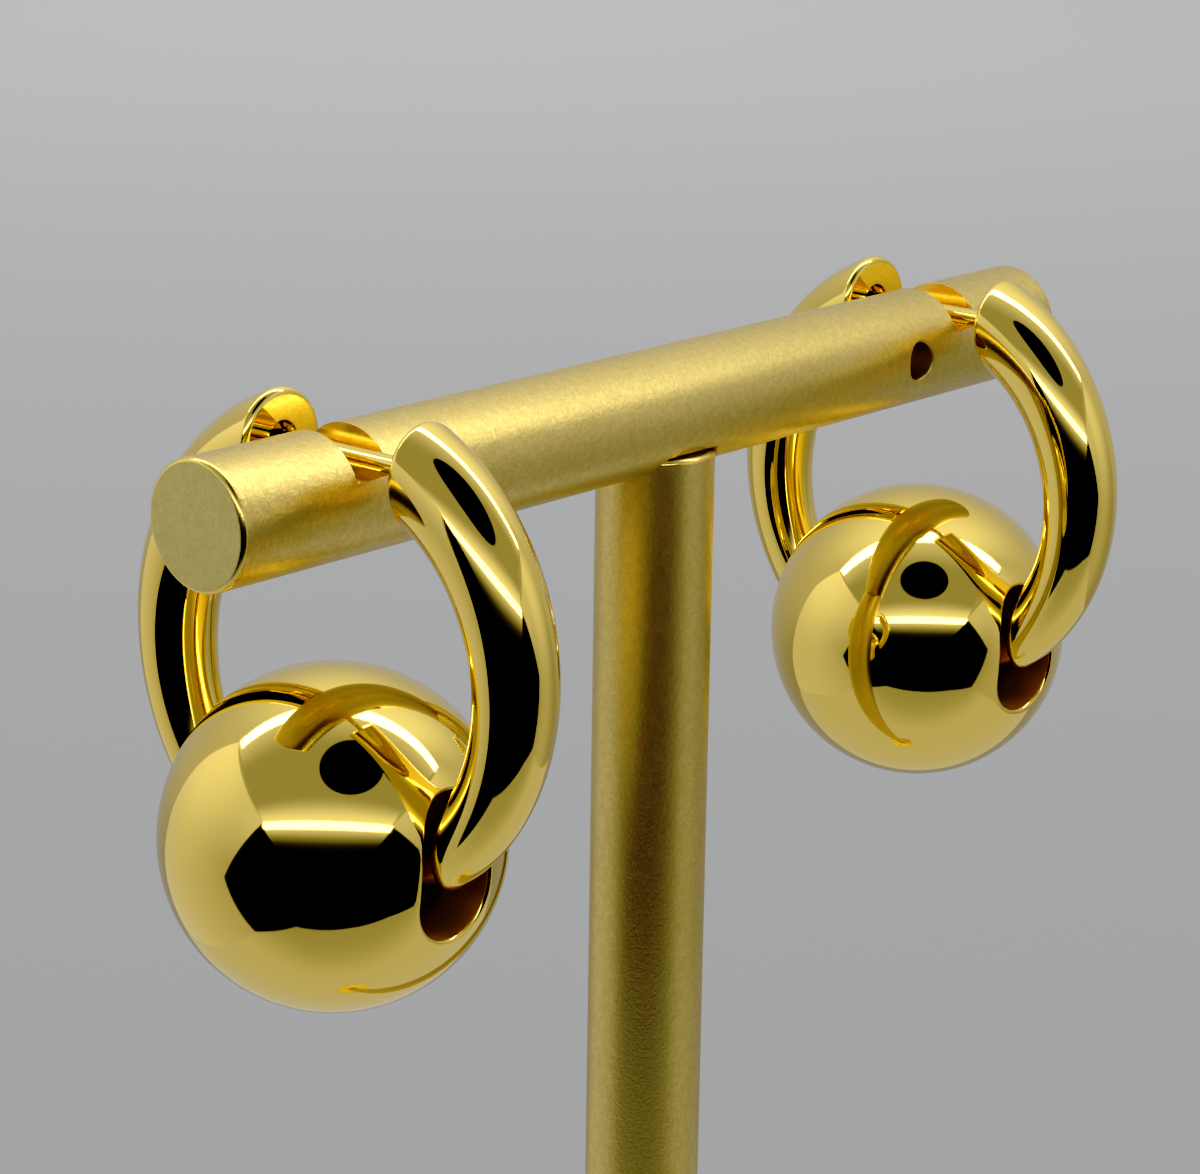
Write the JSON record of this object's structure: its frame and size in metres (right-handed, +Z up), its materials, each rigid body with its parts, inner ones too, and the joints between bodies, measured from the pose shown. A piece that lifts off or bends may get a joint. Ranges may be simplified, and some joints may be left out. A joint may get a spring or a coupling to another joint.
{
  "type": "barbell earring pair on t-bar stand",
  "caption": "Ball-and-hoop barbell earrings, each with a hinged arm that carries the ear post, hanging in notches on the bar of a small round-based T stand.",
  "frame": {"origin": "middle of the underside of the stand's round base, on the surface that it stands on", "axes": "+Z up along the stand's post, X along the bar, the earrings' hinged arms face -Y"},
  "size_m": [0.0609, 0.028, 0.1793],
  "materials": {
    "earring_polished_gold": "gold plated and mirror polished",
    "stand_satin_gold": "gold anodised, fine satin"
  },
  "bodies": {
    "stand_with_balls": {"stand_base": "stand_satin_gold", "stand_post": "stand_satin_gold", "stand_bar": "stand_satin_gold", "left_ball": "earring_polished_gold", "left_hinge_pin": "earring_polished_gold", "right_ball": "earring_polished_gold", "right_hinge_pin": "earring_polished_gold"},
    "left_hinged_arm": {"left_arm": "earring_polished_gold"},
    "right_hinged_arm": {"right_arm": "earring_polished_gold"}
  },
  "joints": [
    {"name": "left_arm_hinge", "type": "hinge", "parent": "stand_with_balls", "child": "left_hinged_arm", "pos_m": [-0.02257, -0.00032, 0.15897], "axis": [0.9995, 0.0087, -0.0297], "range_deg": [0, 17]},
    {"name": "right_arm_hinge", "type": "hinge", "parent": "stand_with_balls", "child": "right_hinged_arm", "pos_m": [0.0223, -0.0003, 0.15888], "axis": [0.9972, -0.075, 0], "range_deg": [0, 17]}
  ]
}
